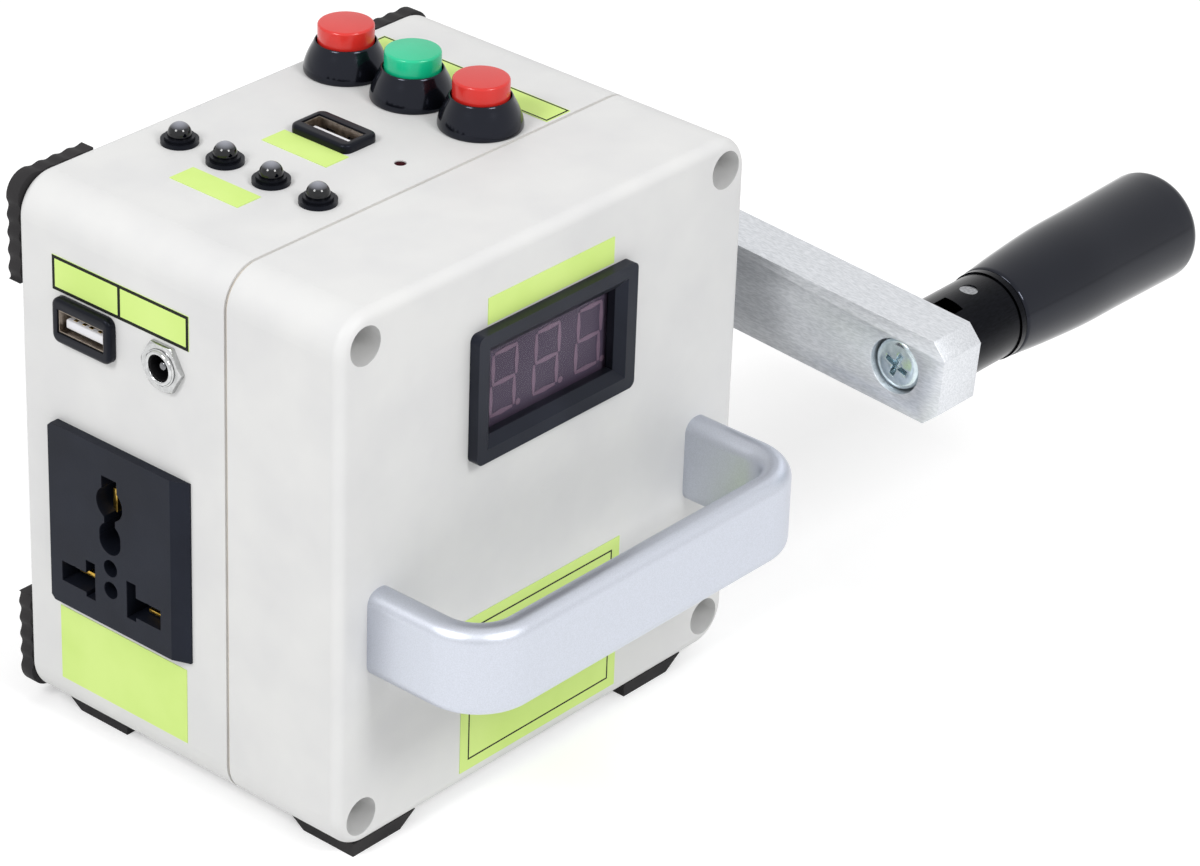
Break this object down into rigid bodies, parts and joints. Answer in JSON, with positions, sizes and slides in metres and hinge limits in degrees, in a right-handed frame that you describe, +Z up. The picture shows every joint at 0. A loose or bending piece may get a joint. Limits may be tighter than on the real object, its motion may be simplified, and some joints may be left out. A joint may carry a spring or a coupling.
{
  "type": "hand crank generator",
  "caption": "Box-shaped hand crank generator with folding grip, carry handle, voltmeter, mains outlet, USB and DC sockets, push buttons and lamps.",
  "frame": {"origin": "middle of the whole object's box, at the floor under the feet", "axes": "+Z up, -Y out of the front face with the handle and meter, +X out of the side with the crank"},
  "size_m": [0.2298, 0.1404, 0.1359],
  "materials": {
    "casing_plastic": "fine moulded texture, satin",
    "gasket_rubber": "matte",
    "steel": "machined",
    "plated_steel": "bright plated",
    "zinc_screw": "blue zinc plated",
    "black_rubber": "moulded, matte",
    "anodised_aluminium": "bead blasted and anodised",
    "bare_aluminium": "sawn and brushed",
    "charcoal_plastic": "fine matte texture",
    "dark_plastic": "matte",
    "gloss_black_plastic": "glossy moulded",
    "blacked_steel": "black, semi-gloss",
    "white_plastic": "moulded",
    "brass": "plain",
    "iron": "laminated",
    "smoked_window": "clear, tinted",
    "lamp_lens": "clear dome",
    "red_lens": "tinted",
    "circuit_board": "solder mask",
    "red_plastic": "moulded, satin",
    "green_plastic": "moulded, satin"
  },
  "bodies": {
    "casing": {"rear_housing": "casing_plastic", "front_cover": "casing_plastic", "cover_gasket": "gasket_rubber", "cover_screws": "steel", "rear_corner_pads": "black_rubber", "bottom_feet": "black_rubber", "carry_handle": "anodised_aluminium", "handle_screws": "steel", "voltmeter_bezel": "charcoal_plastic", "voltmeter_window": "smoked_window", "voltmeter_display": "dark_plastic", "ac_socket": "charcoal_plastic", "ac_contacts": "brass", "side_usb_bezel": "charcoal_plastic", "top_usb_bezel": "charcoal_plastic", "usb_shells": "plated_steel", "usb_tongues": "white_plastic", "dc_jack_barrel": "dark_plastic", "dc_jack_nut": "plated_steel", "dc_jack_pin": "plated_steel", "led_holders": "charcoal_plastic", "leds": "lamp_lens", "indicator_led": "red_lens", "top_board": "circuit_board", "button_bezels": "gloss_black_plastic", "front_button_spring": "steel", "middle_button_spring": "steel", "rear_button_spring": "steel", "button_nuts": "plated_steel", "button_contacts": "dark_plastic", "gearbox_inner_plate": "steel", "gearbox_outer_plate": "steel", "gearbox_spacers": "brass", "gearbox_bushes": "brass", "gearbox_screws": "steel", "wall_bush": "steel", "generator_can": "steel", "stator": "iron", "power_board": "circuit_board", "transformer": "iron", "capacitors": "dark_plastic", "heat_sink": "bare_aluminium"},
    "crank": {"crank_shaft": "steel", "drive_gear": "white_plastic", "crank_arm": "bare_aluminium", "hub_screw": "zinc_screw", "grip_screw": "zinc_screw", "grip_tongue": "blacked_steel"},
    "idler": {"idler_shaft": "steel", "idler_gear": "white_plastic", "idler_pinion": "steel"},
    "rotor": {"rotor": "iron", "rotor_shaft": "steel", "rotor_pinion": "brass"},
    "grip_base": {"grip_collar": "blacked_steel", "fold_pin": "steel"},
    "grip": {"grip": "gloss_black_plastic"},
    "front_button": {"front_button_cap": "red_plastic"},
    "middle_button": {"middle_button_cap": "green_plastic"},
    "rear_button": {"rear_button_cap": "red_plastic"}
  },
  "joints": [
    {"name": "crank_spin", "type": "hinge", "parent": "casing", "child": "crank", "pos_m": [0.0266, 0.02271, 0.0838], "axis": [1, 0, 0], "continuous": true},
    {"name": "idler_spin", "type": "hinge", "parent": "casing", "child": "idler", "pos_m": [-0.0104, 0.02271, 0.0478], "axis": [1, 0, 0], "continuous": true},
    {"name": "rotor_spin", "type": "hinge", "parent": "casing", "child": "rotor", "pos_m": [-0.0414, 0.04071, 0.0238], "axis": [1, 0, 0], "continuous": true},
    {"name": "grip_fold", "type": "hinge", "parent": "crank", "child": "grip_base", "pos_m": [0.0444, -0.0574, 0.07834], "axis": [0, -0.068, 0.9977], "range_deg": [0, 87]},
    {"name": "grip_spin", "type": "hinge", "parent": "grip_base", "child": "grip", "pos_m": [0.0836, -0.0574, 0.07834], "axis": [1, 0, 0], "continuous": true},
    {"name": "front_press", "type": "slide", "parent": "casing", "child": "front_button", "axis": [0, 0, -1], "range_m": [0, 0.0025], "stiffness_N_per_m": 300, "springref_m": -0.003, "deforming": ["front_button_spring"]},
    {"name": "middle_press", "type": "slide", "parent": "casing", "child": "middle_button", "axis": [0, 0, -1], "range_m": [0, 0.0025], "stiffness_N_per_m": 300, "springref_m": -0.003, "deforming": ["middle_button_spring"]},
    {"name": "rear_press", "type": "slide", "parent": "casing", "child": "rear_button", "axis": [0, 0, -1], "range_m": [0, 0.0025], "stiffness_N_per_m": 300, "springref_m": -0.003, "deforming": ["rear_button_spring"]}
  ],
  "couplings": [
    {"joint": "idler_spin", "follows": "crank_spin", "ratio": -5},
    {"joint": "rotor_spin", "follows": "crank_spin", "ratio": 20}
  ]
}
